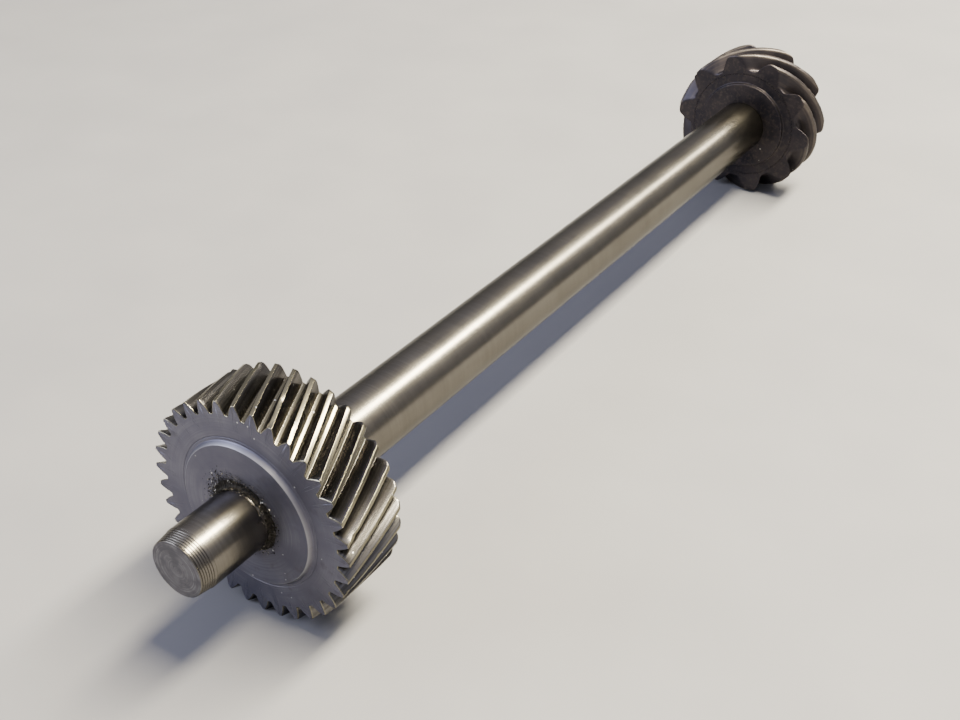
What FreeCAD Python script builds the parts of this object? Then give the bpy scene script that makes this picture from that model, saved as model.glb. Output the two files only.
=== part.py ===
import FreeCAD, Part
import math
import os
import Sketcher

# A gear shaft that carries a helical gear at one end and a many-start worm at the other.
# Row frame: +Y runs along the shaft from the helical gear to the worm, +Z is up, and the origin
# is on the axis at the middle of the front journal's bearing seat. Millimetres throughout.
# Each sub-part is drawn about its own Z axis, and its Placement lays that axis along +Y.

# OVERLAP is how far a feature reaches into, or out past, the solid that it joins or cuts.
TOOTH_POINTS = 7
LEFT_HAND = 1
RIGHT_HAND = 0
OVERLAP = 1.0

SIZES = {
    # Front journal: bearing seat, relief under the braze and tapered nose with turned rings.
    "journal_dia": 17.0,
    "journal_length": 16.5,
    "relief_dia": 16.4,
    "relief_length": 2.0,
    "nose_length": 4.6,
    "nose_dia": 15.55,
    "nose_step": 0.08,
    "ring_count": 6,
    "ring_pitch": 0.66,
    "ring_width": 0.26,
    "ring_depth": 0.11,
    # Shaft body, and the two seats that the gears are pressed on.
    "body_dia": 20.0,
    "seat_dia": 18.0,
    "body_length": 277.0,
    "shoulder_chamfer": 0.4,
    "land_length": 3.5,
    "rear_journal_length": 18.5,
    # Helical gear, 16 diametral pitch in the normal plane.
    "gear_teeth": 34,
    "gear_module": 1.5875,
    "gear_pressure": 25.0,
    "gear_helix": 25.0,
    "gear_width": 21.0,
    "gear_clocking": -7.15,
    "gear_front_break": 0.35,
    "gear_back_break": 1.5,
    "boss_height": 1.3,
    "boss_face_dia": 39.6,
    "boss_base_dia": 41.2,
    "boss_fillet": 0.45,
    "face_groove_dia": 42.4,
    "face_groove_width": 0.5,
    "face_groove_depth": 0.12,
    # Worm, 10 diametral pitch in the normal plane.
    "worm_starts": 10,
    "worm_module": 2.54,
    "worm_pressure": 20.0,
    "worm_helix": 61.0,
    "worm_width": 18.0,
    "worm_clocking": 12.0,
    "worm_break": 0.8,
    "hub_height": 1.5,
    "hub_dia": 35.0,
    "hub_fillet": 0.6,
    # Braze fillet round the front journal.
    "braze_outer_dia": 20.8,
    "braze_toe": 0.35,
    "braze_waist_share": 0.55,
    # Parallel key under the worm.
    "key_width": 6.0,
    "key_depth": 3.5,
    "key_height": 6.0,
    "key_length": 16.0,
    "keyway_height": 2.8,
    "key_clocking": 135.0,
    # Retaining ring behind the worm.
    "circlip_groove_dia": 17.0,
    "circlip_groove_width": 1.3,
    "circlip_thickness": 1.2,
    "circlip_back_width": 2.6,
    "circlip_tip_width": 1.7,
    "circlip_gap": 5.0,
    "circlip_lug_dia": 4.4,
    "circlip_hole_dia": 2.0,
}


class Size:
    """A number worked out from sheet cells, with the expression that works it out."""

    def __init__(self, value, text):
        self.value = value
        self.text = text

    def join(self, other, sign, value):
        return Size(value, "(" + self.text + " " + sign + " " + other.text + ")")

    def __add__(self, other):
        other = as_size(other)
        return self.join(other, "+", self.value + other.value)

    def __sub__(self, other):
        other = as_size(other)
        return self.join(other, "-", self.value - other.value)

    def __mul__(self, other):
        other = as_size(other)
        return self.join(other, "*", self.value * other.value)

    def __truediv__(self, other):
        other = as_size(other)
        return self.join(other, "/", self.value / other.value)

    def __neg__(self):
        return Size(-self.value, "(0 - " + self.text + ")")


def as_size(number):
    return number if isinstance(number, Size) else Size(float(number), repr(float(number)))


def cell(alias):
    return Size(float(SIZES[alias]), "Sizes." + alias)


ZERO = as_size(0)


def make_sheet(doc):
    sheet = doc.addObject("Spreadsheet::Sheet", "Sizes")
    for row, (alias, value) in enumerate(SIZES.items(), start=1):
        sheet.set("A%d" % row, alias)
        sheet.set("B%d" % row, str(value))
        sheet.setAlias("B%d" % row, alias)
    doc.recompute()


# Derived places along the shaft, measured from the row's origin.

def boss_face_place():
    return cell("journal_length") / 2 + cell("relief_length")


def gear_face_place():
    return boss_face_place() + cell("boss_height")


def front_shoulder_place():
    return gear_face_place() + cell("gear_width")


def rear_shoulder_place():
    return front_shoulder_place() + cell("body_length")


def worm_face_place():
    return rear_shoulder_place() + cell("hub_height")


def worm_back_place():
    return worm_face_place() + cell("worm_width")


def rear_journal_place():
    return worm_back_place() + cell("land_length")


# Helpers shared by the sub-parts.

def make_body(doc, label):
    body = doc.addObject("PartDesign::Body", label)
    body.Label = label
    return body


def origin_plane(body, role):
    return [item for item in body.Origin.OriginFeatures if item.Role == role][0]


def make_sketch(body, name, role, offset=ZERO):
    """An empty sketch on one of the body's own planes, moved along the plane's normal."""
    sketch = body.newObject("Sketcher::SketchObject", name)
    sketch.AttachmentSupport = [(origin_plane(body, role), "")]
    sketch.MapMode = "FlatFace"
    sketch.setExpression("AttachmentOffset.Base.z", offset.text)
    return sketch


def pin_vertex(sketch, edge, point):
    """Ties the start of a sketch line to a place given by two sizes."""
    for kind, size in (("DistanceX", point[0]), ("DistanceY", point[1])):
        index = sketch.addConstraint(Sketcher.Constraint(kind, -1, 1, edge, 1, size.value))
        sketch.setExpression("Constraints[%d]" % index, size.text)


def add_outline(sketch, points):
    """A closed outline of straight lines through points whose coordinates are sizes."""
    vectors = [FreeCAD.Vector(across.value, along.value, 0) for across, along in points]
    first = sketch.GeometryCount
    count = len(points)
    for index in range(count):
        line = Part.LineSegment(vectors[index], vectors[(index + 1) % count])
        sketch.addGeometry(line, False)
    for index in range(count):
        edge = first + index
        following = first + (index + 1) % count
        sketch.addConstraint(Sketcher.Constraint("Coincident", edge, 2, following, 1))
        pin_vertex(sketch, edge, points[index])


def add_circle(sketch, diameter, centre=(ZERO, ZERO)):
    place = FreeCAD.Vector(centre[0].value, centre[1].value, 0)
    circle = Part.Circle(place, FreeCAD.Vector(0, 0, 1), diameter.value / 2)
    edge = sketch.addGeometry(circle, False)
    for kind, size in (("DistanceX", centre[0]), ("DistanceY", centre[1])):
        index = sketch.addConstraint(Sketcher.Constraint(kind, -1, 1, edge, 3, size.value))
        sketch.setExpression("Constraints[%d]" % index, size.text)
    index = sketch.addConstraint(Sketcher.Constraint("Diameter", edge, diameter.value))
    sketch.setExpression("Constraints[%d]" % index, diameter.text)


def revolve(body, name, points, kind="PartDesign::Revolution"):
    """Turns a half section, given as (radius, place along the axis), round the axis."""
    sketch = make_sketch(body, name + "Section", "XZ_Plane")
    add_outline(sketch, points)
    turned = body.newObject(kind, name)
    turned.Profile = sketch
    turned.ReferenceAxis = (sketch, ["V_Axis"])
    turned.Angle = 360
    body.Document.recompute()
    return turned


def round_edge(body, name, radius, place, fillet):
    """Rounds the circular edges of one radius at one place along the axis."""
    names = []
    for index, edge in enumerate(body.Shape.Edges, start=1):
        if not isinstance(edge.Curve, Part.Circle):
            continue
        at_place = abs(edge.Curve.Center.z - place.value) < 1e-4
        if at_place and abs(edge.Curve.Radius - radius.value) < 1e-4:
            names.append("Edge%d" % index)
    base = body.Tip
    rounding = body.newObject("PartDesign::Fillet", name)
    rounding.Base = (base, names)
    rounding.setExpression("Radius", fillet.text)
    body.Document.recompute()


def cut_through(body, sketch, name):
    """Cuts a sketch on the XY plane right through the body, both ways."""
    cut = body.newObject("PartDesign::Pocket", name)
    cut.Profile = sketch
    cut.Type = "ThroughAll"
    cut.Midplane = True
    body.Document.recompute()


def lay_along_y(body, place, clocking=ZERO):
    """Lays the body's Z axis along +Y, its origin at a place on the axis, turned by clocking."""
    along = FreeCAD.Rotation(FreeCAD.Vector(1, 0, 0), -90)
    turn = FreeCAD.Rotation(FreeCAD.Vector(0, 0, 1), clocking.value)
    body.Placement = FreeCAD.Placement(FreeCAD.Vector(0, place.value, 0), along.multiply(turn))
    body.setExpression("Placement.Base.y", place.text)


# Toothed sections.

def tooth_numbers(prefix):
    """Radii and half tooth angle of the transverse section, from the normal-plane sizes."""
    teeth = SIZES[prefix + ("_teeth" if prefix == "gear" else "_starts")]
    module = SIZES[prefix + "_module"]
    helix = math.radians(SIZES[prefix + "_helix"])
    pressure = math.radians(SIZES[prefix + "_pressure"])
    pitch_radius = teeth * module / (2 * math.cos(helix))
    transverse_pressure = math.atan(math.tan(pressure) / math.cos(helix))
    return {
        "teeth": teeth,
        "pitch": pitch_radius,
        "base": pitch_radius * math.cos(transverse_pressure),
        "tip": pitch_radius + module,
        "root": pitch_radius - 1.25 * module,
        "lead": 2 * math.pi * pitch_radius / math.tan(helix),
    }


def involute_angle(base, radius):
    pressure = math.acos(min(1.0, base / radius))
    return math.tan(pressure) - pressure


def at_angle(radius, angle):
    return FreeCAD.Vector(radius * math.cos(angle), radius * math.sin(angle), 0)


def add_toothed_outline(sketch, numbers, first_tooth):
    """A closed outline of teeth: involute flanks joined by arcs at the tips and the roots."""
    base, root, tip = numbers["base"], numbers["root"], numbers["tip"]
    start = max(base, root)
    steps = [index / (TOOTH_POINTS - 1) for index in range(TOOTH_POINTS)]
    radii = [start + (tip - start) * step for step in steps]
    half = math.pi / (2 * numbers["teeth"]) + involute_angle(base, numbers["pitch"])
    spreads = [half - involute_angle(base, radius) for radius in radii]
    pitch_angle = 2 * math.pi / numbers["teeth"]
    for tooth in range(numbers["teeth"]):
        middle = first_tooth + tooth * pitch_angle
        rising = [at_angle(r, middle - spread) for r, spread in zip(radii, spreads)]
        falling = [at_angle(r, middle + spread) for r, spread in zip(radii, spreads)][::-1]
        next_foot = at_angle(start, middle + pitch_angle - spreads[0])
        edges = [add_curve(rising), Part.Arc(rising[-1], at_angle(tip, middle), falling[0])]
        edges.append(add_curve(falling))
        edges += root_edges(falling[-1], next_foot, middle + pitch_angle / 2, root, start)
        sketch.addGeometry(edges, False)


def add_curve(points):
    curve = Part.BSplineCurve()
    curve.interpolate(points)
    return curve


def root_edges(foot, next_foot, middle, root, start):
    """The floor of one tooth space, with radial walls where the base circle is above it."""
    if start - root < 1e-6:
        return [Part.Arc(foot, at_angle(root, middle), next_foot)]
    low = FreeCAD.Vector(foot).multiply(root / start)
    next_low = FreeCAD.Vector(next_foot).multiply(root / start)
    floor = Part.Arc(low, at_angle(root, middle), next_low)
    return [Part.LineSegment(foot, low), floor, Part.LineSegment(next_low, next_foot)]


def sweep_teeth(doc, body, prefix, hand, first_tooth):
    """Sweeps the toothed section along the axis, twisted by a guide helix."""
    numbers = tooth_numbers(prefix)
    width = cell(prefix + "_width")
    section = make_sketch(body, body.Label + "_section", "XY_Plane")
    add_toothed_outline(section, numbers, first_tooth)
    axis = doc.addObject("Part::Line", body.Label + "_axis")
    axis.X2, axis.Y2 = 0, 0
    axis.setExpression("Z2", width.text)
    guide = doc.addObject("Part::Helix", body.Label + "_guide")
    guide.Pitch = numbers["lead"]
    guide.Radius = numbers["pitch"]
    guide.LocalCoord = hand
    guide.setExpression("Height", width.text)
    doc.recompute()
    teeth = body.newObject("PartDesign::AdditivePipe", body.Label + "_teeth")
    teeth.Profile = section
    teeth.Spine = (axis, ["Edge1"])
    teeth.Mode = "Auxiliary"
    teeth.AuxiliarySpine = (guide, ["Edge1"])
    teeth.AuxiliaryCurvilinear = False
    doc.recompute()
    return numbers


def break_rim(body, name, tip, place, inward, size):
    """Turns a 45 degree break on the teeth's outer corner; inward is +1 or -1 along the axis."""
    outer = as_size(tip) + OVERLAP
    inner_end = place + size * inward
    corner = [(as_size(tip) - size, place), (outer, place), (outer, inner_end)]
    corner.append((as_size(tip), inner_end))
    before = body.Shape.Volume
    revolve(body, name, corner, "PartDesign::Groove")
    if body.Shape.Volume >= before:
        raise RuntimeError(name + " cut nothing")


# Sub-parts.

def nose_profile(end, inward):
    """Half section of a tapered nose from its end face: rings turned into the taper."""
    taper = (cell("journal_dia") - cell("nose_step") * 2 - cell("nose_dia")) / 2
    slope = taper / cell("nose_length")
    points = [(cell("nose_dia") / 2, end)]
    for ring in range(SIZES["ring_count"]):
        entry = cell("ring_pitch") * (ring + 0.5)
        for share, depth in ((0.0, 0.0), (0.5, 1.0), (1.0, 0.0)):
            along = entry + cell("ring_width") * share
            radius = cell("nose_dia") / 2 + slope * along - cell("ring_depth") * depth
            points.append((radius, end + along * inward))
    shoulder = end + cell("nose_length") * inward
    points.append((cell("nose_dia") / 2 + taper, shoulder))
    points.append((cell("journal_dia") / 2, shoulder))
    return points


def make_shaft(doc):
    body = make_body(doc, "shaft")
    journal, seat, full = cell("journal_dia") / 2, cell("seat_dia") / 2, cell("body_dia") / 2
    relief, chamfer = cell("relief_dia") / 2, cell("shoulder_chamfer")
    edge = full - chamfer
    seat_end = cell("journal_length") / 2
    front_end = -seat_end - cell("nose_length")
    front, rear = front_shoulder_place(), rear_shoulder_place()
    rear_end = rear_journal_place() + cell("rear_journal_length") + cell("nose_length")
    points = [(ZERO, front_end)] + nose_profile(front_end, 1)
    points += [(journal, seat_end), (relief, seat_end), (relief, boss_face_place())]
    points += [(seat, boss_face_place()), (seat, front)]
    points += [(edge, front), (full, front + chamfer), (full, rear - chamfer), (edge, rear)]
    points += [(seat, rear), (seat, rear_journal_place())]
    points += [(journal, rear_journal_place())] + nose_profile(rear_end, -1)[::-1]
    points += [(ZERO, rear_end)]
    revolve(body, "Turning", points)
    cut_circlip_groove(body)
    cut_keyseat(body)
    lay_along_y(body, ZERO, cell("key_clocking"))


def cut_circlip_groove(body):
    floor, outside = cell("circlip_groove_dia") / 2, cell("seat_dia") / 2 + OVERLAP
    start = worm_back_place()
    end = start + cell("circlip_groove_width")
    section = [(floor, start), (outside, start), (outside, end), (floor, end)]
    revolve(body, "CirclipGroove", section, "PartDesign::Groove")


def key_start_place():
    spare = cell("hub_height") + cell("worm_width") - cell("key_length")
    return rear_shoulder_place() + spare / 2


def add_key_outline(sketch, start):
    """A round-ended key seen from outside: width across, length along the shaft."""
    radius = SIZES["key_width"] / 2
    low = start.value + radius
    high = start.value + SIZES["key_length"] - radius
    corners = [FreeCAD.Vector(side * radius, along, 0) for side, along in
               ((1, low), (1, high), (-1, high), (-1, low))]
    far_end = Part.Arc(corners[1], FreeCAD.Vector(0, high + radius, 0), corners[2])
    near_end = Part.Arc(corners[3], FreeCAD.Vector(0, low - radius, 0), corners[0])
    sides = [Part.LineSegment(corners[0], corners[1]), Part.LineSegment(corners[2], corners[3])]
    sketch.addGeometry([sides[0], far_end, sides[1], near_end], False)


def key_floor():
    return cell("seat_dia") / 2 - cell("key_depth")


def cut_keyseat(body):
    sketch = make_sketch(body, "KeyseatOutline", "YZ_Plane", key_floor())
    add_key_outline(sketch, key_start_place())
    before = body.Shape.Volume
    seat = body.newObject("PartDesign::Pocket", "Keyseat")
    seat.Profile = sketch
    seat.Reversed = True
    seat.setExpression("Length", (cell("key_depth") + OVERLAP).text)
    body.Document.recompute()
    if body.Shape.Volume >= before:
        raise RuntimeError("the keyseat cut nothing")


def make_helical_gear(doc):
    body = make_body(doc, "helical_gear")
    numbers = sweep_teeth(doc, body, "gear", LEFT_HAND, 0.0)
    width, height = cell("gear_width"), cell("boss_height")
    break_rim(body, "FrontBreak", numbers["tip"], ZERO, 1, cell("gear_front_break"))
    break_rim(body, "BackBreak", numbers["tip"], width, -1, cell("gear_back_break"))
    inner, depth = cell("seat_dia") / 2 - OVERLAP, as_size(OVERLAP)
    face, base = cell("boss_face_dia") / 2, cell("boss_base_dia") / 2
    boss = [(inner, depth), (inner, -height), (face, -height), (base, ZERO), (base, depth)]
    revolve(body, "Boss", boss)
    round_edge(body, "BossFillet", base, ZERO, cell("boss_fillet"))
    cut_face_groove(body)
    bore = make_sketch(body, "BoreOutline", "XY_Plane")
    add_circle(bore, cell("seat_dia"))
    cut_through(body, bore, "Bore")
    lay_along_y(body, gear_face_place(), cell("gear_clocking"))


def cut_face_groove(body):
    """A fine turned groove in the gear's outer face, just outside the boss."""
    inner = cell("face_groove_dia") / 2
    outer = inner + cell("face_groove_width")
    middle = (inner + outer) / 2
    above = -as_size(OVERLAP)
    section = [(inner, above), (outer, above), (outer, ZERO)]
    section += [(middle, cell("face_groove_depth")), (inner, ZERO)]
    revolve(body, "FaceGroove", section, "PartDesign::Groove")


def make_worm(doc):
    body = make_body(doc, "worm")
    numbers = sweep_teeth(doc, body, "worm", RIGHT_HAND, math.radians(SIZES["worm_clocking"]))
    width, height = cell("worm_width"), cell("hub_height")
    break_rim(body, "FrontBreak", numbers["tip"], ZERO, 1, cell("worm_break"))
    break_rim(body, "BackBreak", numbers["tip"], width, -1, cell("worm_break"))
    inner, outer = cell("seat_dia") / 2 - OVERLAP, cell("hub_dia") / 2
    depth = as_size(OVERLAP)
    revolve(body, "Hub", [(inner, depth), (inner, -height), (outer, -height), (outer, depth)])
    round_edge(body, "HubFillet", outer, ZERO, cell("hub_fillet"))
    bore = make_sketch(body, "BoreOutline", "XY_Plane")
    add_circle(bore, cell("seat_dia"))
    cut_through(body, bore, "Bore")
    keyway = make_sketch(body, "KeywayOutline", "XY_Plane")
    reach, half = cell("seat_dia") / 2 + cell("keyway_height"), cell("key_width") / 2
    add_outline(keyway, [(ZERO, -half), (reach, -half), (reach, half), (ZERO, half)])
    cut_through(body, keyway, "Keyway")
    lay_along_y(body, worm_face_place(), cell("key_clocking"))


def make_braze_ring(doc):
    """The rough fillet of braze in the corner between the journal and the gear's boss."""
    body = make_body(doc, "braze_ring")
    inner, journal = cell("relief_dia") / 2, cell("journal_dia") / 2
    outer, toe, height = cell("braze_outer_dia") / 2, cell("braze_toe"), cell("relief_length")
    waist = (journal + outer) / 2
    section = [(inner, ZERO), (inner, -height), (journal + toe, -height)]
    section += [(waist, -height * cell("braze_waist_share")), (outer, -toe), (outer, ZERO)]
    revolve(body, "Fillet", section)
    lay_along_y(body, boss_face_place())


def make_worm_key(doc):
    body = make_body(doc, "worm_key")
    sketch = make_sketch(body, "KeyOutline", "YZ_Plane", key_floor())
    add_key_outline(sketch, key_start_place())
    pad = body.newObject("PartDesign::Pad", "Key")
    pad.Profile = sketch
    pad.setExpression("Length", cell("key_height").text)
    doc.recompute()
    lay_along_y(body, ZERO, cell("key_clocking"))


def make_retaining_ring(doc):
    """An external circlip: an eccentric band, two lugs with plier holes and a gap."""
    body = make_body(doc, "retaining_ring")
    inner = cell("circlip_groove_dia")
    back, tip = cell("circlip_back_width"), cell("circlip_tip_width")
    thickness = cell("circlip_thickness").text
    band = make_sketch(body, "BandOutline", "XY_Plane")
    add_circle(band, inner + back + tip, ((tip - back) / 2, ZERO))
    add_circle(band, inner)
    pad = body.newObject("PartDesign::Pad", "Band")
    pad.Profile = band
    pad.setExpression("Length", thickness)
    doc.recompute()
    lug, hole = cell("circlip_lug_dia"), cell("circlip_hole_dia")
    reach = inner / 2 + lug / 2
    side = (cell("circlip_gap") + lug) / 2
    for index, sign in enumerate((1, -1)):
        outline = make_sketch(body, "LugOutline%d" % index, "XY_Plane")
        add_circle(outline, lug, (reach, side * sign))
        ear = body.newObject("PartDesign::Pad", "Lug%d" % index)
        ear.Profile = outline
        ear.setExpression("Length", thickness)
        doc.recompute()
    openings = make_sketch(body, "Openings", "XY_Plane")
    half = cell("circlip_gap") / 2
    far = reach + lug
    add_outline(openings, [(ZERO, -half), (far, -half), (far, half), (ZERO, half)])
    for sign in (1, -1):
        add_circle(openings, hole, (reach, side * sign))
    cut_through(body, openings, "Gap")
    clear = make_sketch(body, "GrooveClearance", "XY_Plane")
    add_circle(clear, inner)
    cut_through(body, clear, "Inside")
    lay_along_y(body, worm_back_place(), cell("key_clocking"))


def check_and_write(doc):
    for item in doc.Objects:
        if "Invalid" in item.State or "Error" in item.State:
            raise RuntimeError(item.Name + " did not compute: " + ", ".join(item.State))
    bodies = [item for item in doc.Objects if item.TypeId == "PartDesign::Body"]
    for body in bodies:
        if body.Shape.isNull() or not body.Shape.isValid() or len(body.Shape.Solids) != 1:
            raise RuntimeError(body.Label + " is not one valid solid")
    os.makedirs("parts", exist_ok=True)
    for body in bodies:
        body.Shape.exportStep(os.path.join("parts", body.Label + ".step"))
        box = body.Shape.BoundBox
        sizes = (body.Label, body.Shape.Volume, box.YMin, box.YMax)
        print("%-16s %10.1f mm3  Y %.2f to %.2f" % sizes)


def main():
    doc = FreeCAD.newDocument("GearShaft")
    make_sheet(doc)
    make_shaft(doc)
    make_helical_gear(doc)
    make_braze_ring(doc)
    make_worm(doc)
    make_worm_key(doc)
    make_retaining_ring(doc)
    doc.recompute()
    check_and_write(doc)


main()
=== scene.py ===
import math
import random
import bpy
import numpy as np
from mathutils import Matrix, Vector, noise


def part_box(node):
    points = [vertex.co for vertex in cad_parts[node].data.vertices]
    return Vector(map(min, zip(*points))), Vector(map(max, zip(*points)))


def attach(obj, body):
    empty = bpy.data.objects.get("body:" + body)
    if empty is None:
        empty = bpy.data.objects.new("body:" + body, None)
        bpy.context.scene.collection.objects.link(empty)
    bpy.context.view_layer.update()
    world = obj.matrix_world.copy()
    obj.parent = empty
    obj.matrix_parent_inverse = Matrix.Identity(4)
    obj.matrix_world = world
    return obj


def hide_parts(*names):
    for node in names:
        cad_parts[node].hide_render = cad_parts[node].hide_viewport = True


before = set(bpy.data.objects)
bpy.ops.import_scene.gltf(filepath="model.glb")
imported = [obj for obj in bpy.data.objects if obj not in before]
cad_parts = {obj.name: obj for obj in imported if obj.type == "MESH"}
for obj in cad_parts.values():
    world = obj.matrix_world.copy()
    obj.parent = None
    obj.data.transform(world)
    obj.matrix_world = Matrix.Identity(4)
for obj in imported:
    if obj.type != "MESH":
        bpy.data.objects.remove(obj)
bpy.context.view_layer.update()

# A gear shaft lying on a pale floor: helical gear in front, many-start worm at the far end.
# Sections and places are in millimetres in the row frame and become metres when a mesh is made.

MM = 0.001
# Each table's floor and land values lighten the floor between teeth and the tip land: a painted
# highlight, with wear on the lands.
GEAR = {
    "teeth": 34, "module": 1.5875, "pressure": 25.0, "helix": 25.0, "twist": 0.015660,
    "phase": 7.15, "front": 11.55, "back": 32.55, "root_round": 0.13, "tip_round": 0.06,
    "floor_highlight": 1.0, "land_wear_and_highlight": 1.0, "front_break": 0.2, "back_round": 1.5,
    "inner_steps": 16, "nick_reach": 1.4,
}
WORM = {
    "teeth": 10, "module": 2.54, "pressure": 20.0, "helix": 61.0, "twist": -0.068866,
    "phase": 33.0, "front": 311.05, "back": 329.05, "root_round": 1.3, "tip_round": 0.9,
    "floor_highlight": 0.0, "land_wear_and_highlight": 0.3, "front_break": 0.55, "back_round": 1.4,
    "inner_steps": 34, "nick_reach": 2.4,
}
BOSS_FACE = 10.25
BOSS_FACE_RADIUS = 19.8
BOSS_BASE_RADIUS = 20.6
FACE_GROOVE = (21.2, 21.7, 0.12)
BORE_RADIUS = 9.0
HUB_FACE = 309.55
HUB_RADIUS = 17.5
KEYWAY = {"half_width": 3.0, "top": 11.8, "direction": 225.0}
JOURNAL_RADIUS = 8.5
NOSE = {"length": 4.6, "end": 7.775, "inner": 8.42, "rings": 6, "pitch": 0.66,
        "width": 0.28, "depth": 0.15}
FRONT_SEAT = (-8.25, 8.25)
REAR_SEAT = (332.55, 351.05)
BODY_RADIUS = 10.0
BODY_CHAMFER = 0.4
RELIEF_RADIUS = 8.4
CIRCLIP_GROOVE = {"radius": 8.5, "width": 1.3}
CENTRE_DIMPLE = (0.02, 0.03)
LATHE_STEPS = 256
BREAK_STEPS = ((1.0, 0.0), (0.45, 0.2), (0.13, 0.5), (0.0, 1.0))
BREAK_LENGTH = 1.2
FACE_DRAW = 1.15
ROUND_STEPS = 7
# Break at the tooth ends that is lightened: wear and a painted highlight.
WORN_AND_HIGHLIGHTED_BREAK = (0.01, 0.21)
NICK_DEPTH = 0.5
BRAZE_STEPS = 540
BRAZE_ARC_STEPS = 16
GRAIN_COUNT = 4200
GRAIN_SEED = 11
EDGE_TINT = (0.55, 0.55, 0.55)


# Sections and meshes.

def rounded(points, steps=4, support=0.02):
    """A lathe section with rounded corners; each point is (radius, place along Y, rounding)."""
    path = [points[0][:2]]
    for before, corner, after in zip(points, points[1:], points[2:]):
        here = Vector(corner[:2])
        if corner[2] == 0:
            path.append(tuple(here))
            continue
        toward = (Vector(before[:2]) - here).normalized()
        away = (Vector(after[:2]) - here).normalized()
        start, end = here + toward * corner[2], here + away * corner[2]
        path.append(tuple(start + toward * support))
        for step in range(steps + 1):
            share = step / steps
            path.append(tuple(start.lerp(here, share).lerp(here.lerp(end, share), share)))
        path.append(tuple(end + away * support))
    path.append(points[-1][:2])
    return path


def lathe_ring(radius, place, angles):
    return np.stack([radius * np.cos(angles), np.full_like(angles, place),
                     radius * np.sin(angles)], axis=1)


def spin_angles(count=LATHE_STEPS):
    return np.linspace(0, 2 * math.pi, count, endpoint=False)


def grid_faces(rings, count, closed):
    faces = []
    for ring in range(rings if closed else rings - 1):
        this, following = ring * count, (ring + 1) % rings * count
        for index in range(count):
            right = (index + 1) % count
            faces.append((this + index, following + index, following + right, this + right))
    return faces


def make_piece(name, points, faces, replaced=()):
    """A mesh object from points in millimetres, facing outwards, riding on the root."""
    mesh = bpy.data.meshes.new(name)
    mesh.from_pydata((points * MM).tolist(), [], faces)
    mesh.polygons.foreach_set("use_smooth", [True] * len(mesh.polygons))
    mesh.update()
    piece = bpy.data.objects.new(name, mesh)
    bpy.context.collection.objects.link(piece)
    if signed_volume(mesh) < 0:
        mesh.flip_normals()
    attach(piece, "root")
    if replaced:
        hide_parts(*replaced)
    return piece


def signed_volume(mesh):
    mesh.calc_loop_triangles()
    corners = np.array([triangle.vertices[:] for triangle in mesh.loop_triangles])
    places = np.array([vertex.co[:] for vertex in mesh.vertices])
    first, second, third = (places[corners[:, index]] for index in range(3))
    return float(np.einsum("ij,ij->i", first, np.cross(second, third)).sum())


def add_attribute(piece, name, values):
    attribute = piece.data.attributes.new(name, "FLOAT", "POINT")
    attribute.data.foreach_set("value", np.asarray(values, dtype=np.float32))


# Toothed pieces.

def tooth_radii(gear):
    helix = math.radians(gear["helix"])
    pitch = gear["teeth"] * gear["module"] / (2 * math.cos(helix))
    pressure = math.atan(math.tan(math.radians(gear["pressure"])) / math.cos(helix))
    tip, root = pitch + gear["module"], pitch - 1.25 * gear["module"]
    return pitch, pitch * math.cos(pressure), tip, root


def half_angle(gear, radius):
    """Half the angle that a tooth fills at a radius."""
    pitch, base, _, _ = tooth_radii(gear)
    involute = [math.tan(a) - a for a in (math.acos(base / pitch),
                                          math.acos(min(1, base / radius)))]
    return math.pi / (2 * gear["teeth"]) + involute[0] - involute[1]


def bend(start, corner, end, steps):
    """Points (angle, radius) on a smooth bend, without its ends."""
    points = []
    for step in range(1, steps):
        share = step / steps
        weights = ((1 - share) ** 2, 2 * share * (1 - share), share ** 2)
        points.append([sum(w * p[axis] for w, p in zip(weights, (start, corner, end)))
                       for axis in range(2)])
    return points


def half_tooth(gear):
    """Half a tooth from the middle of the space to the middle of the tip, with its wear and
    painted highlight.
    """
    _, _, tip, root = tooth_radii(gear)
    foot, rounding = gear["root_round"], gear["tip_round"]
    space = math.pi / gear["teeth"]
    floor_end = -half_angle(gear, root) - foot / root
    low, high = root + foot, tip - rounding
    floor = [[angle, root] for angle in np.linspace(-space, floor_end, 3)]
    flank = [[-half_angle(gear, radius), radius] for radius in np.linspace(low, high, 8)]
    land_start = -half_angle(gear, tip) + rounding / tip
    land = [[angle, tip] for angle in np.linspace(land_start, 0, 3)]
    fillet = bend(floor[-1], [-half_angle(gear, root), root], flank[0], 4)
    corner = bend(flank[-1], [-half_angle(gear, tip), tip], land[0], 4)
    wear_and_highlight = [gear["floor_highlight"]] * len(floor) + [0.0] * (len(fillet) + len(flank))
    wear_and_highlight += [1.0] * len(corner) + [gear["land_wear_and_highlight"]] * len(land)
    return floor + fillet + flank + corner + land, wear_and_highlight


def section(gear):
    """Angles and radii of the whole toothed outline, tooth after tooth, with its wear and
    painted highlight.
    """
    half, wear_and_highlight = half_tooth(gear)
    mirrored = [[-angle, radius] for angle, radius in half[-2:0:-1]]
    tooth = np.array(half + mirrored)
    tooth_wear_and_highlight = np.array(wear_and_highlight + wear_and_highlight[-2:0:-1])
    pitch = 2 * math.pi / gear["teeth"]
    first = math.radians(gear["phase"])
    angles = np.concatenate([tooth[:, 0] + first + pitch * n for n in range(gear["teeth"])])
    return angles, np.tile(tooth[:, 1], gear["teeth"]), np.tile(tooth_wear_and_highlight, gear["teeth"])


def outline_normals(flat):
    along = np.roll(flat, -1, axis=0) - np.roll(flat, 1, axis=0)
    outward = np.stack([along[:, 1], -along[:, 0]], axis=1)
    return outward / np.linalg.norm(outward, axis=1)[:, None]


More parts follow.
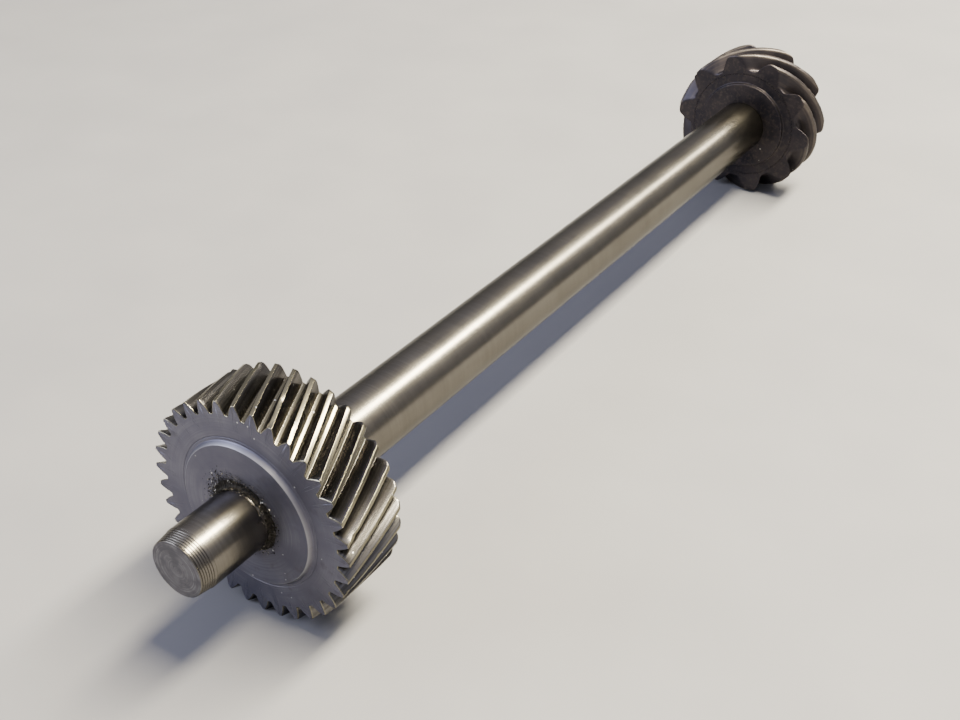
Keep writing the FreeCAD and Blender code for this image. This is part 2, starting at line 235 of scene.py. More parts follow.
def tooth_stations(gear):
    """Stations along the teeth: (place, how far the outline draws in, radius it is capped at).

    The outline draws in at both faces, and the back's tips are rounded off as well.
    """
    tip = tooth_radii(gear)[2]
    front, back = gear["front"], gear["back"]
    front_break, back_round = gear["front_break"], gear["back_round"]
    stations = [(front, front_break * FACE_DRAW, tip)]
    stations += [(front + front_break * BREAK_LENGTH * along, front_break * drawn, tip)
                 for drawn, along in BREAK_STEPS]
    last = back - back_round
    stations += [(place, 0.0, tip) for place in
                 np.linspace(stations[-1][0], last, gear["inner_steps"] + 2)[1:]]
    for step in range(1, ROUND_STEPS + 1):
        turn = math.pi / 2 * step / ROUND_STEPS
        place = last + back_round * math.sin(turn)
        drawn = front_break * max(0.0, (place - back) / front_break + 1)
        stations.append((place, drawn, tip - back_round * (1 - math.cos(turn))))
    stations.append((back, front_break * FACE_DRAW, tip - back_round - 0.02))
    return stations


def nick(angle, place, reach):
    """How far a tooth's tip is dented at one spot."""
    spot = Vector((math.cos(angle) * 14, place * 0.55, math.sin(angle) * 14))
    return reach * max(0.0, noise.noise(spot) - 0.42)


def toothed_rings(gear, stations):
    """One ring of points for each station, twisted along the axis."""
    angles, radii, wear_and_highlight = section(gear)
    flat = np.stack([radii * np.cos(angles), radii * np.sin(angles)], axis=1)
    outward = outline_normals(flat)
    tip = tooth_radii(gear)[2]
    rings = []
    for place, drawn, cap in stations:
        moved = flat - outward * drawn
        size = np.minimum(np.hypot(moved[:, 0], moved[:, 1]), cap)
        turned = np.arctan2(moved[:, 1], moved[:, 0]) + gear["twist"] * (place - gear["front"])
        dents = [nick(angle, place, gear["nick_reach"]) if radius > tip - NICK_DEPTH else 0.0
                 for angle, radius in zip(turned, size)]
        rings.append(lathe_ring(size - np.array(dents), place, turned))
    return rings, angles, wear_and_highlight


def face_rings(path, angles, turn):
    return [lathe_ring(radius, place, angles + turn) for radius, place in path]


def keyed_bore(angles):
    """Radius of a bore with one keyway, for each angle."""
    away = angles - math.radians(KEYWAY["direction"])
    away = (away + math.pi) % (2 * math.pi) - math.pi
    side = KEYWAY["half_width"] / np.maximum(np.abs(np.sin(away)), 1e-6)
    top = KEYWAY["top"] / np.maximum(np.cos(away), 1e-6)
    slot = np.where(np.cos(away) > 0, np.minimum(side, top), 0)
    return np.maximum(slot, BORE_RADIUS)


def snapped(angles):
    """The same angles with the nearest ones moved on to the keyway's corners."""
    out = angles.copy()
    half = KEYWAY["half_width"]
    for bearing in (math.asin(half / BORE_RADIUS), math.atan(half / KEYWAY["top"])):
        for side in (-1, 1):
            corner = math.radians(KEYWAY["direction"]) + side * bearing
            away = (out - corner + math.pi) % (2 * math.pi) - math.pi
            nearest = np.argmin(np.abs(away))
            out[nearest] -= away[nearest]
    return out


def gear_front_path():
    """Front of the helical gear, from the bore out to just inside the teeth."""
    front = GEAR["front"]
    inner, outer, depth = FACE_GROOVE
    return rounded([
        (BORE_RADIUS, BOSS_FACE + 0.2, 0), (BORE_RADIUS + 0.2, BOSS_FACE, 0.05),
        (BOSS_FACE_RADIUS, BOSS_FACE, 0.12),
        (BOSS_BASE_RADIUS, front, 0.3), (inner, front, 0.05),
        ((inner + outer) / 2, front + depth, 0.08), (outer, front, 0.05),
        (26.9, front, 0)])


def gear_back_path():
    back = GEAR["back"]
    return rounded([(26.0, back, 0), (24.0, back, 0.1), (23.7, back - 0.15, 0.1),
                    (23.4, back, 0.1), (BORE_RADIUS + 0.4, back, 0.1),
                    (BORE_RADIUS, back - 0.4, 0)])


def make_gear():
    stations = tooth_stations(GEAR)
    teeth, angles, wear_and_highlight = toothed_rings(GEAR, stations)
    front_path, back_path = gear_front_path(), gear_back_path()
    turn = GEAR["twist"] * (GEAR["back"] - GEAR["front"])
    rings = face_rings(front_path, angles, 0) + teeth + face_rings(back_path, angles, turn)
    count = len(angles)
    piece = make_piece("helical_gear_body", np.concatenate(rings),
                       grid_faces(len(rings), count, True), ("helical_gear",))
    first, last = len(front_path), len(front_path) + len(teeth)
    add_attribute(piece, "wear_and_highlight", gear_wear_and_highlight(front_path, stations, wear_and_highlight, len(back_path)))
    piece.data.materials.append(gear_face_material())
    piece.data.materials.append(gear_tooth_material())
    choose_material(piece, count, first + 1, last - 2)
    return piece


def gear_wear_and_highlight(front_path, stations, wear_and_highlight, back_count):
    """Wear and painted highlight of each point: on the boss's edge, on tooth tips and on the
    ends of the flanks.
    """
    parts = [np.full(len(wear_and_highlight), 1.0 if abs(radius - BOSS_FACE_RADIUS) < 0.1 else 0.0)
             for radius, _ in front_path]
    for place, drawn, _ in stations:
        edge = 1.0 if WORN_AND_HIGHLIGHTED_BREAK[0] < drawn < WORN_AND_HIGHLIGHTED_BREAK[1] else 0.0
        flat = place in (GEAR["front"], GEAR["back"])
        parts.append(np.zeros(len(wear_and_highlight)) if flat else np.maximum(wear_and_highlight, edge))
    parts += [np.zeros(len(wear_and_highlight))] * back_count
    return np.concatenate(parts)


def choose_material(piece, count, first, last):
    """Gives the second material to the faces between two rings."""
    chosen = np.zeros(len(piece.data.polygons), dtype=np.int32)
    chosen[first * count:last * count] = 1
    piece.data.polygons.foreach_set("material_index", chosen)


def worm_front_path():
    """Front of the worm, from the hub face out to just inside the teeth."""
    root, rim = tooth_radii(WORM)[3], WORM["front"]
    return rounded([
        (BORE_RADIUS + 4.2, HUB_FACE, 0), (HUB_RADIUS, HUB_FACE, 0.35),
        (HUB_RADIUS + 0.1, rim, 0.5), (root - 1.9, rim, 0.2), (root - 1.6, rim, 0.2),
        (root - 0.9, rim, 0)])


def keyed_rings(angles, place):
    """The keyed bore's mouth, and a ring just outside it that keeps the face flat."""
    return [lathe_ring(keyed_bore(angles) + wider, place, angles) for wider in (0, 0.06)]


def make_worm():
    stations = tooth_stations(WORM)
    teeth, angles, wear_and_highlight = toothed_rings(WORM, stations)
    front_path = worm_front_path()
    back = WORM["back"]
    back_path = [(21.0, back), (18.0, back), (17.9, back - 0.1), (17.6, back - 0.1),
                 (17.5, back), (BORE_RADIUS + 4.2, back)]
    turn = WORM["twist"] * (back - WORM["front"])
    bore_angles = snapped(angles)
    bore_back = snapped(angles + turn)
    rings = keyed_rings(bore_angles, HUB_FACE)
    rings += face_rings(front_path, angles, 0) + teeth + face_rings(back_path, angles, turn)
    rings += keyed_rings(bore_back, back)[::-1]
    piece = make_piece("worm_body", np.concatenate(rings),
                       grid_faces(len(rings), len(angles), True), ("worm",))
    flat = [np.zeros(len(wear_and_highlight))]
    parts = flat * (len(front_path) + 2)
    parts += [wear_and_highlight if WORM["front"] < place < back else flat[0] for place, _, _ in stations]
    add_attribute(piece, "wear_and_highlight", np.concatenate(parts + flat * (len(back_path) + 2)))
    piece.data.materials.append(worm_material())
    return piece


# Shaft.

def nose_points(end, inward):
    """Tapered nose with turned rings, from the end face to the journal."""
    slope = (NOSE["inner"] - NOSE["end"]) / NOSE["length"]
    points = [(NOSE["end"], end, 0.3)]
    for ring in range(NOSE["rings"]):
        start = NOSE["pitch"] * (ring + 0.5)
        for share, depth, rounding in ((0, 0, 0.03), (0.5, 1, 0.05), (1, 0, 0.03)):
            along = start + NOSE["width"] * share
            radius = NOSE["end"] + slope * along - NOSE["depth"] * depth
            points.append((radius, end + along * inward, rounding))
    shoulder = end + NOSE["length"] * inward
    points.append((NOSE["inner"], shoulder, 0.02))
    points.append((JOURNAL_RADIUS, shoulder, 0.03))
    return points


def end_face(end, inward):
    """Facing marks on an end of the shaft: shallow ridges round the centre."""
    radii = np.arange(0.35, NOSE["end"] - 0.7, 0.22)
    return [(float(radius), end + 0.012 * (index % 2) * inward, 0)
            for index, radius in enumerate(radii)]


def shaft_points():
    """Half section of the shaft, from the front end to the rear end."""
    front_end = FRONT_SEAT[0] - NOSE["length"]
    rear_end = REAR_SEAT[1] + NOSE["length"]
    body_start, body_end = GEAR["back"], HUB_FACE
    chamfered = BODY_RADIUS - BODY_CHAMFER
    groove_start = WORM["back"]
    groove_end = groove_start + CIRCLIP_GROOVE["width"]
    centre, dimple = CENTRE_DIMPLE
    points = [(centre, front_end + dimple, 0)]
    points += end_face(front_end, 1) + nose_points(front_end, 1)
    points += [(JOURNAL_RADIUS, FRONT_SEAT[1], 0.05), (RELIEF_RADIUS, FRONT_SEAT[1], 0.05)]
    points += [(RELIEF_RADIUS, BOSS_FACE, 0), (BORE_RADIUS, BOSS_FACE, 0)]
    points += [(BORE_RADIUS, body_start, 0), (chamfered, body_start, 0.1)]
    points += [(BODY_RADIUS, body_start + BODY_CHAMFER, 0.1)]
    points += [(BODY_RADIUS, body_end - BODY_CHAMFER, 0.1), (chamfered, body_end, 0.1)]
    points += [(BORE_RADIUS, body_end, 0), (BORE_RADIUS, groove_start, 0.04)]
    points += [(CIRCLIP_GROOVE["radius"], groove_start, 0.04)]
    points += [(CIRCLIP_GROOVE["radius"], groove_end, 0.04), (BORE_RADIUS, groove_end, 0.04)]
    points += [(BORE_RADIUS, REAR_SEAT[0], 0.2), (JOURNAL_RADIUS, REAR_SEAT[0], 0.1)]
    points += nose_points(rear_end, -1)[::-1] + end_face(rear_end, -1)[::-1]
    return points + [(centre, rear_end - dimple, 0)]


def make_shaft():
    path = rounded(shaft_points())
    angles = spin_angles()
    rings = [lathe_ring(radius, place, angles) for radius, place in path]
    faces = grid_faces(len(rings), LATHE_STEPS, False)
    last = (len(rings) - 1) * LATHE_STEPS
    faces.append(tuple(range(LATHE_STEPS)))
    faces.append(tuple(range(last + LATHE_STEPS - 1, last - 1, -1)))
    piece = make_piece("gear_shaft", np.concatenate(rings), faces, ("shaft",))
    piece.data.materials.append(shaft_material())
    piece.data.materials.append(end_face_material())
    chosen = [int(abs(p.normal.y) > 0.9 and p.center.xz.length < NOSE["end"] * MM)
              for p in piece.data.polygons]
    piece.data.polygons.foreach_set("material_index", chosen)
    # Painted shade: the shaft is darker in the nose's turned rings and at its shoulder.
    add_attribute(piece, "groove_shade", np.concatenate([ring_groove_shade(*spot) for spot in path]))
    return piece


def ring_groove_shade(radius, place):
    """Painted shade in the nose's turned rings and at its shoulder."""
    depth = 0.0
    for shoulder, outward in ((FRONT_SEAT[0], -1), (REAR_SEAT[1], 1)):
        along = (place - shoulder) * outward
        if -0.02 < along < NOSE["length"] - 0.4:
            slope = (NOSE["inner"] - NOSE["end"]) / NOSE["length"]
            depth = NOSE["inner"] - slope * max(0.0, along) - radius
    share = min(1.0, max(0.0, depth / (NOSE["depth"] * 0.7)))
    return np.full(LATHE_STEPS, share)


# Braze.

def braze_spread(angle):
    """How far the braze has run out, from 0 to 1: most at the upper left of the journal."""
    away = (angle - math.radians(140) + math.pi) % (2 * math.pi) - math.pi
    return 0.25 + 0.75 * math.exp(-(away / 0.75) ** 2)


def make_braze_fillet():
    """The lumpy fillet itself, a loop swept round the journal."""
    angles = spin_angles(BRAZE_STEPS)
    inner, corner = JOURNAL_RADIUS - 0.2, BOSS_FACE + 0.2
    rings = []
    for angle in angles:
        spread = braze_spread(angle)
        reach_out, reach_along = 1.1 + 0.8 * spread, 1.1 + 0.4 * spread
        rings.append(braze_loop(angle, inner, corner, reach_out, reach_along))
    points = np.concatenate(rings)
    faces = grid_faces(BRAZE_STEPS, BRAZE_ARC_STEPS + 2, True)
    piece = make_piece("braze_fillet", points, faces, ("braze_ring",))
    piece.data.materials.append(braze_material())
    return piece


def braze_loop(angle, inner, corner, reach_out, reach_along):
    """One cross section of the fillet: concave outside, square against the corner."""
    loop = [(inner, corner)]
    for step in range(BRAZE_ARC_STEPS + 1):
        turn = math.pi / 2 * step / BRAZE_ARC_STEPS
        radius = inner + 0.2 + reach_out * (1 - math.sin(turn)) ** 1.3
        place = corner - 0.2 - reach_along * (1 - math.cos(turn)) ** 1.3
        spot = Vector((radius * math.cos(angle), place, radius * math.sin(angle)))
        lump = 0.22 * noise.noise(spot * 2.3) + 0.16 * noise.noise(spot * 6.1)
        grow = max(0.0, lump + 0.06)
        loop.append((radius + grow * 0.8, place - grow * 0.8))
    return np.array([(r * math.cos(angle), y, r * math.sin(angle)) for r, y in loop])


def grain_template():
    """A small rough ball: 12 corners and 20 faces."""
    golden = (1 + math.sqrt(5)) / 2
    corners = []
    for first in (-1, 1):
        for second in (-golden, golden):
            corners += [(0, first, second), (first, second, 0), (second, 0, first)]
    return np.array(corners) / golden, hull_faces(np.array(corners))


def hull_faces(corners):
    """Faces of the regular solid: every three corners that are all neighbours."""
    faces = []
    count = len(corners)
    for a in range(count):
        for b in range(a + 1, count):
            for c in range(b + 1, count):
                trio = corners[[a, b, c]]
                sides = [np.linalg.norm(trio[i] - trio[(i + 1) % 3]) for i in range(3)]
                if max(sides) < 2.01:
                    faces.append(outward_face(corners, (a, b, c)))
    return faces


def outward_face(corners, face):
    first, second, third = (corners[index] for index in face)
    facing = np.dot(np.cross(second - first, third - first), first)
    return face if facing > 0 else face[::-1]


def grain_place(rng):
    """A spot on the journal's end or on the boss face, near the fillet."""
    while True:
        angle = rng.uniform(0, 2 * math.pi)
        if rng.random() < braze_spread(angle):
            break
    spread = braze_spread(angle)
    if rng.random() < 0.6:
        radius = JOURNAL_RADIUS + 0.3 + abs(rng.gauss(0, 0.8 + 1.2 * spread))
        return angle, radius, BOSS_FACE - 0.02
    place = BOSS_FACE - 0.3 - abs(rng.gauss(0, 0.75))
    return angle, JOURNAL_RADIUS + 0.02, place


def make_braze_grains():
    """Loose-looking grains of braze scattered over the corner."""
    rng = random.Random(GRAIN_SEED)
    corners, shape = grain_template()
    points, faces, glints = [], [], []
    for index in range(GRAIN_COUNT):
        angle, radius, place = grain_place(rng)
        size = rng.uniform(0.04, 0.10) * (1.6 if rng.random() < 0.12 else 1)
        bright = 0.30 - 0.18 * braze_spread(angle)
        glints += [1.0 if rng.random() < bright else 0.0] * len(corners)
        stretch = np.array([rng.uniform(0.7, 1.3) for _ in range(3)])
        centre = np.array([radius * math.cos(angle), place, radius * math.sin(angle)])
        rough = 1 + np.array([rng.uniform(-0.25, 0.25) for _ in corners])[:, None]
        points.append(centre + corners * rough * stretch * size)
        faces += [tuple(index * len(corners) + corner for corner in face) for face in shape]
    piece = make_piece("braze_grains", np.concatenate(points), faces)
    add_attribute(piece, "glint", glints)
    piece.data.polygons.foreach_set("use_smooth", [False] * len(piece.data.polygons))
    piece.data.materials.append(braze_material())
    return piece


# Materials.

def start_material(name):
    material = bpy.data.materials.new(name)
    material.use_nodes = True
    return material, material.node_tree


def add_node(tree, kind, settings=None, **inputs):
    """A shader node; an input is a number, a colour or another node's output."""
    node = tree.nodes.new(kind)
    for key, value in (settings or {}).items():
        setattr(node, key, value)
    for key, value in inputs.items():
        socket = node.inputs[key.replace("_", " ")]
        if isinstance(value, bpy.types.NodeSocket):
            tree.links.new(value, socket)
        else:
            socket.default_value = value
    return node


def arithmetic(tree, operation, first, second=0.0):
    node = tree.nodes.new("ShaderNodeMath")
    node.operation = operation
    for socket, value in zip(node.inputs, (first, second)):
        if isinstance(value, bpy.types.NodeSocket):
            tree.links.new(value, socket)
        else:
            socket.default_value = value
    return node.outputs[0]


def mix_colours(tree, factor, first, second):
    node = tree.nodes.new("ShaderNodeMix")
    node.data_type = "RGBA"
    for index, value in ((0, factor), (6, first), (7, second)):
        if isinstance(value, bpy.types.NodeSocket):
            tree.links.new(value, node.inputs[index])
        elif index == 0:
            node.inputs[index].default_value = value
        else:
            node.inputs[index].default_value = (*value, 1)
    return node.outputs[2]


def remap(tree, value, low, high, new_low=0.0, new_high=1.0):
    """Stretches a value from one range to another and clamps it."""
    node = add_node(tree, "ShaderNodeMapRange", Value=value, From_Min=low, From_Max=high,
                    To_Min=new_low, To_Max=new_high)
    return node.outputs[0]


def object_place(tree):
    return tree.nodes.new("ShaderNodeTexCoord").outputs["Object"]


def scaled(tree, vector, scale):
    node = tree.nodes.new("ShaderNodeVectorMath")
    node.operation = "MULTIPLY"
    tree.links.new(vector, node.inputs[0])
    node.inputs[1].default_value = scale
    return node.outputs[0]


def speckle(tree, vector, scale, detail=2.0, roughness=0.5):
    """Noise with features about 1 / scale metres across."""
    node = add_node(tree, "ShaderNodeTexNoise", Vector=vector, Scale=scale, Detail=detail,
                    Roughness=roughness)
    return node.outputs[0]


def turning_lines(tree, place, scale):
    """Fine lines that run round the axis, broken up a little."""
    parts = add_node(tree, "ShaderNodeSeparateXYZ", Vector=place)
    along = arithmetic(tree, "ADD", parts.outputs[1], axis_distance(tree, place))
    side = arithmetic(tree, "MULTIPLY", parts.outputs[0], 0.012)
    height = arithmetic(tree, "MULTIPLY", parts.outputs[2], 0.012)
    joined = add_node(tree, "ShaderNodeCombineXYZ", X=along, Y=side, Z=height)
    return speckle(tree, joined.outputs[0], scale, 3.0, 0.6)


def axis_distance(tree, place):
    length = add_node(tree, "ShaderNodeVectorMath", {"operation": "LENGTH"})
    tree.links.new(scaled(tree, place, (1, 0, 1)), length.inputs[0])
    return length.outputs[1]


def helix_lines(tree, place, twist, scale):
    """Fine lines that follow the teeth."""
    parts = add_node(tree, "ShaderNodeSeparateXYZ", Vector=place)
    angle = arithmetic(tree, "MULTIPLY", parts.outputs[1], twist / MM)
    turned = add_node(tree, "ShaderNodeVectorRotate", {"rotation_type": "Y_AXIS"},
                      Vector=place, Angle=angle)
    return speckle(tree, scaled(tree, turned.outputs[0], (1, 0.012, 1)), scale, 2.0, 0.5)


def dust(tree, place, scale, share):
    """Small specks: 1 inside a speck and 0 outside, on a share of the cells."""
    cells = add_node(tree, "ShaderNodeTexVoronoi", Vector=place, Scale=scale)
    inside = remap(tree, cells.outputs["Distance"], 0.16, 0.10)
    parts = add_node(tree, "ShaderNodeSeparateColor", Color=cells.outputs["Color"])
    picked = arithmetic(tree, "LESS_THAN", parts.outputs[0], share)
    return arithmetic(tree, "MULTIPLY", inside, picked)


# The lighter marks on edges, tip lands and floors: wear and a painted highlight.
def wear_and_highlight_of(tree):
    return add_node(tree, "ShaderNodeAttribute", {"attribute_name": "wear_and_highlight"}).outputs["Fac"]


def bump(tree, height, depth, strength=1.0, below=None):
    """A bump of a real depth in metres."""
    node = add_node(tree, "ShaderNodeBump", Height=height, Distance=depth, Strength=strength)
    if below is not None:
        tree.links.new(below, node.inputs["Normal"])
    return node.outputs[0]


def finish_metal(tree, colour, roughness, normal, metallic=1.0):
    shader = tree.nodes["Principled BSDF"]
    tree.links.new(colour, shader.inputs["Base Color"])
    tree.links.new(roughness, shader.inputs["Roughness"])
    tree.links.new(normal, shader.inputs["Normal"])
    shader.inputs["Metallic"].default_value = metallic
    shader.inputs["Specular Tint"].default_value = (*EDGE_TINT, 1)


def shaft_material():
    """Ground steel: rings from grinding, soft oily clouding, a few dark flecks and painted
    shade in the nose's turned rings.
    """
    material, tree = start_material("ground_steel_shaft")
    place = object_place(tree)
    lines = turning_lines(tree, place, 2600)
    streaks = speckle(tree, scaled(tree, place, (1, 0.12, 1)), 420, 4.0, 0.6)
    clouds = speckle(tree, place, 60, 3.0)
    flecks = dust(tree, place, 520, 0.06)
    tone = mix_colours(tree, remap(tree, clouds, 0.3, 0.7), (0.122, 0.113, 0.098),
                       (0.148, 0.138, 0.122))
    tone = mix_colours(tree, remap(tree, streaks, 0.45, 0.8, 0.0, 0.25), tone,
                       (0.095, 0.083, 0.068))
    tone = mix_colours(tree, remap(tree, lines, 0.4, 0.65, 0.0, 0.2), tone,
                       (0.25, 0.237, 0.212))
    tone = mix_colours(tree, arithmetic(tree, "MULTIPLY", flecks, 0.7), tone,
                       (0.07, 0.06, 0.05))
    # Painted shade: much darker in the nose's turned rings and at its shoulder.
    groove_shade = add_node(tree, "ShaderNodeAttribute", {"attribute_name": "groove_shade"}).outputs["Fac"]
    tone = mix_colours(tree, arithmetic(tree, "MULTIPLY", groove_shade, 0.85), tone,
                       (0.03, 0.027, 0.024))
    rough = remap(tree, streaks, 0.3, 0.7, 0.21, 0.27)
    normal = bump(tree, lines, 0.000006)
    finish_metal(tree, tone, rough, bump(tree, streaks, 0.00001, 0.6, normal))
    return material


def end_face_material():
    """Faced end of the shaft: arcs from the tool, small pits and a cool grey colour."""
    material, tree = start_material("faced_shaft_end")
    place = object_place(tree)
    lines = turning_lines(tree, place, 3000)
    patches = speckle(tree, place, 420, 3.0)
    pits = dust(tree, place, 900, 0.10)
    tone = mix_colours(tree, remap(tree, patches, 0.35, 0.65), (0.098, 0.098, 0.116),
                       (0.138, 0.138, 0.158))
    faint = arithmetic(tree, "MULTIPLY", remap(tree, lines, 0.48, 0.66),
                       remap(tree, patches, 0.4, 0.62, 0.1, 0.8))
    tone = mix_colours(tree, faint, tone, (0.30, 0.30, 0.325))
    tone = mix_colours(tree, pits, tone, (0.05, 0.05, 0.055))
    rough = remap(tree, patches, 0.3, 0.7, 0.34, 0.46)
    normal = bump(tree, lines, 0.000014)
    finish_metal(tree, tone, rough, bump(tree, pits, 0.00002, 0.8, normal))
    return material


def gear_face_material():
    """Turned steel face: faint arcs, smudges and a cool grey colour."""
    material, tree = start_material("turned_gear_face")
    place = object_place(tree)
    lines = turning_lines(tree, place, 3200)
    patches = speckle(tree, place, 75, 3.0)
    smudges = speckle(tree, place, 240, 3.0, 0.55)
    tone = mix_colours(tree, remap(tree, patches, 0.35, 0.65), (0.126, 0.125, 0.163),
                       (0.158, 0.157, 0.198))
    faint = arithmetic(tree, "MULTIPLY", remap(tree, lines, 0.4, 0.68),
                       remap(tree, patches, 0.42, 0.6, 0.05, 0.4))
    tone = mix_colours(tree, faint, tone, (0.25, 0.25, 0.275))
    tone = mix_colours(tree, remap(tree, axis_distance(tree, place), 0.0125, 0.0092, 0, 0.6),
                       tone, (0.05, 0.048, 0.052))
    tone = mix_colours(tree, remap(tree, smudges, 0.62, 0.8, 0.0, 0.5), tone,
                       (0.085, 0.083, 0.092))
    tone = mix_colours(tree, dust(tree, place, 620, 0.05), tone, (0.62, 0.62, 0.63))
    # Painted highlight and wear: the boss's edge is lighter.
    tone = mix_colours(tree, arithmetic(tree, "MULTIPLY", wear_and_highlight_of(tree), 0.5), tone,
                       (0.4, 0.4, 0.42))
    rough = remap(tree, smudges, 0.3, 0.75, 0.46, 0.56)
    normal = bump(tree, lines, 0.000008)
    grain = bump(tree, speckle(tree, place, 2600, 2.0), 0.000006, 0.7, normal)
    finish_metal(tree, tone, rough, grain)
    return material


def gear_tooth_material():
    """Ground teeth: fine lines along them, lands, floors and edges lighter and yellower from
    wear and a painted highlight, darker flanks, dust.
    """
    material, tree = start_material("ground_gear_teeth")
    place = object_place(tree)
    lines = helix_lines(tree, place, GEAR["twist"], 2600)
    broad = helix_lines(tree, place, GEAR["twist"], 700)
    oil = speckle(tree, place, 110, 3.0)
    flank = mix_colours(tree, remap(tree, broad, 0.35, 0.65), (0.098, 0.094, 0.096),
                        (0.150, 0.144, 0.137))
    flank = mix_colours(tree, remap(tree, lines, 0.46, 0.60, 0.0, 0.75), flank,
                        (0.045, 0.042, 0.038))
    # Painted highlight and wear: tip lands, floors between teeth and edges take this lighter,
    # yellower colour.
    land = mix_colours(tree, remap(tree, lines, 0.42, 0.62), (0.262, 0.242, 0.176),
                       (0.165, 0.152, 0.111))
    tone = mix_colours(tree, wear_and_highlight_of(tree), flank, land)
    tone = mix_colours(tree, remap(tree, oil, 0.5, 0.85, 0.0, 0.35), tone,
                       (0.055, 0.050, 0.046))
    tone = mix_colours(tree, dust(tree, place, 560, 0.12), tone, (0.7, 0.7, 0.7))
    rough = remap(tree, oil, 0.35, 0.7, 0.22, 0.29)
    normal = bump(tree, lines, 0.000003)
    finish_metal(tree, tone, rough, bump(tree, broad, 0.000006, 0.6, normal))
    return material


def worm_material():
    """Dark oxide steel with brown oily patches and slightly brighter worn edges."""
    material, tree = start_material("dark_worm_steel")
    place = object_place(tree)
    lines = helix_lines(tree, place, WORM["twist"], 900)
    patches = speckle(tree, place, 95, 4.0, 0.6)
    grit = speckle(tree, place, 1500, 3.0)
    tone = mix_colours(tree, remap(tree, patches, 0.35, 0.65), (0.024, 0.0225, 0.029),
                       (0.044, 0.038, 0.041))
    tone = mix_colours(tree, remap(tree, lines, 0.5, 0.75, 0.0, 0.4), tone,
                       (0.095, 0.08, 0.068))
    tone = mix_colours(tree, dust(tree, place, 420, 0.05), tone, (0.3, 0.29, 0.27))
    worn = arithmetic(tree, "MULTIPLY", wear_and_highlight_of(tree), remap(tree, patches, 0.3, 0.7, 0.1, 0.4))
    tone = mix_colours(tree, worn, tone, (0.2, 0.175, 0.15))
    rough = remap(tree, patches, 0.3, 0.7, 0.36, 0.52)
    normal = bump(tree, lines, 0.00002)
    finish_metal(tree, tone, rough, bump(tree, grit, 0.000012, 0.8, normal), 0.9)
    return material


def braze_material():
    """Black scale with glinting facets."""
    material, tree = start_material("scaled_braze")
    place = object_place(tree)
    glint = add_node(tree, "ShaderNodeAttribute", {"attribute_name": "glint"}).outputs["Fac"]
    clouds = speckle(tree, place, 1400, 3.0)
    tone = mix_colours(tree, remap(tree, clouds, 0.35, 0.65), (0.010, 0.0095, 0.009),
                       (0.035, 0.031, 0.025))
    tone = mix_colours(tree, glint, tone, (0.72, 0.68, 0.58))
    rough = remap(tree, glint, 0, 1, 0.6, 0.25)
    finish_metal(tree, tone, rough, bump(tree, clouds, 0.00006), 0.85)
    return material


def small_part_material(name, dark, light, rough_low, rough_high):
    """Steel for a small pressed or ground part: blotches, fine grain and scratches."""
    material, tree = start_material(name)
    place = object_place(tree)
    blotches = speckle(tree, place, 260, 4.0, 0.6)
    scratches = speckle(tree, scaled(tree, place, (1, 0.05, 0.6)), 2400, 3.0)
    tone = mix_colours(tree, remap(tree, blotches, 0.35, 0.65), dark, light)
    tone = mix_colours(tree, remap(tree, scratches, 0.6, 0.75, 0.0, 0.4), tone,
                       tuple(min(1, value * 2.2) for value in light))
    rough = remap(tree, blotches, 0.3, 0.7, rough_low, rough_high)
    finish_metal(tree, tone, rough, bump(tree, scratches, 0.00001))
    return material


def dress_cad_nodes():
    """Materials for the CAD nodes that stay: the key and the retaining ring."""
    finishes = {
        "worm_key": small_part_material("drawn_key_steel", (0.22, 0.21, 0.19),
                                        (0.34, 0.33, 0.31), 0.28, 0.42),
        "retaining_ring": small_part_material("phosphated_spring_steel",
                                              (0.035, 0.034, 0.036), (0.08, 0.075, 0.07),
                                              0.35, 0.5),
    }
    for name, material in finishes.items():
        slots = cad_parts[name].data.materials
        slots.clear()
        slots.append(material)


# Floor, light and camera.

def floor_material():
    material, tree = start_material("pale_floor")
    place = object_place(tree)
    clouds = speckle(tree, place, 25, 3.0)
    tone = mix_colours(tree, remap(tree, clouds, 0.3, 0.7), (0.160, 0.161, 0.175),
                       (0.174, 0.175, 0.188))
    shader = tree.nodes["Principled BSDF"]
    tree.links.new(tone, shader.inputs["Base Color"])
    shader.inputs["Roughness"].default_value = 0.65
    shader.inputs["Specular IOR Level"].default_value = 0.3
    return material


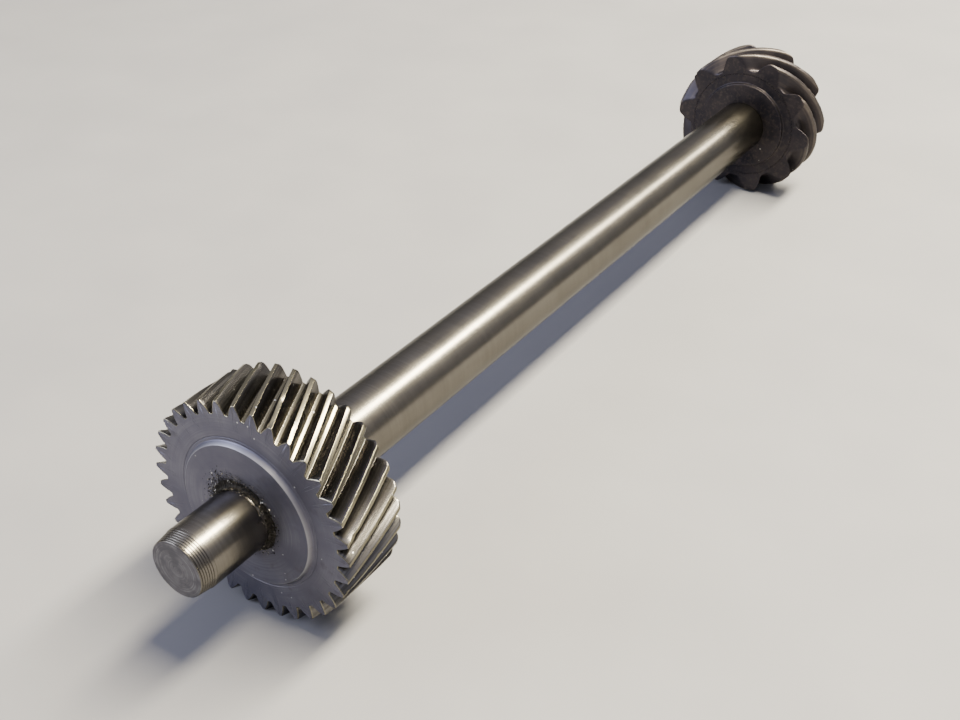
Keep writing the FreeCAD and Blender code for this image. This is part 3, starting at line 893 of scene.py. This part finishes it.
def make_floor():
    """A flat floor, tilted so that the gear and the worm both touch it."""
    gear_low, gear_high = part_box("helical_gear")
    worm_low, worm_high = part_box("worm")
    slope = (worm_low[2] - gear_low[2]) / (worm_high[1] - gear_high[1])
    reach = 5.0
    corners = [(x, y, gear_low[2] + slope * (y - gear_high[1]))
               for x, y in ((-reach, -reach), (reach, -reach), (reach, reach), (-reach, reach))]
    mesh = bpy.data.meshes.new("floor")
    mesh.from_pydata(corners, [], [(0, 1, 2, 3)])
    mesh.materials.append(floor_material())
    floor = bpy.data.objects.new("floor", mesh)
    bpy.context.collection.objects.link(floor)


def add_area_light(name, place, target, size, power, colour):
    light = bpy.data.lights.new(name, "AREA")
    light.shape = "RECTANGLE"
    light.size, light.size_y = size
    light.energy = power
    light.color = colour
    lamp = bpy.data.objects.new(name, light)
    lamp.location = place
    aim = Vector(target) - Vector(place)
    lamp.rotation_euler = aim.to_track_quat("-Z", "Y").to_euler()
    bpy.context.collection.objects.link(lamp)


def make_world():
    """Dim surroundings: dark near the horizon and a little lighter overhead."""
    world = bpy.data.worlds.new("studio")
    world.use_nodes = True
    tree = world.node_tree
    direction = tree.nodes.new("ShaderNodeTexCoord").outputs["Generated"]
    parts = add_node(tree, "ShaderNodeSeparateXYZ", Vector=direction)
    up = remap(tree, parts.outputs[2], 0.15, 0.95)
    colour = mix_colours(tree, up, (0.42, 0.41, 0.42), (0.76, 0.77, 0.96))
    tree.links.new(colour, tree.nodes["Background"].inputs["Color"])
    bpy.context.scene.world = world


def make_lights():
    add_area_light("near_strip", (0.39, 0.7, 1.23), (0.39, 0.7, 0), (0.29, 1.5), 205,
                   (1.0, 0.90, 0.66))
    add_area_light("far_strip", (0.39, 2.3, 1.23), (0.39, 2.3, 0), (0.26, 1.7), 44,
                   (1.0, 0.91, 0.72))
    add_area_light("window", (-1.4, -1.0, 0.95), (0, 0, 0), (1.2, 1.0), 42,
                   (0.78, 0.83, 1.0))


def make_camera():
    data = bpy.data.cameras.new("camera")
    data.lens = 46.875
    data.sensor_width = 36
    camera = bpy.data.objects.new("camera", data)
    camera.location = (0.17756, -0.15546, 0.19574)
    camera.rotation_euler = (math.radians(90 - 32.553), 0, math.radians(33.357))
    bpy.context.collection.objects.link(camera)
    bpy.context.scene.camera = camera


make_gear()
make_worm()
make_shaft()
make_braze_fillet()
make_braze_grains()
dress_cad_nodes()
make_floor()
make_world()
make_lights()
make_camera()
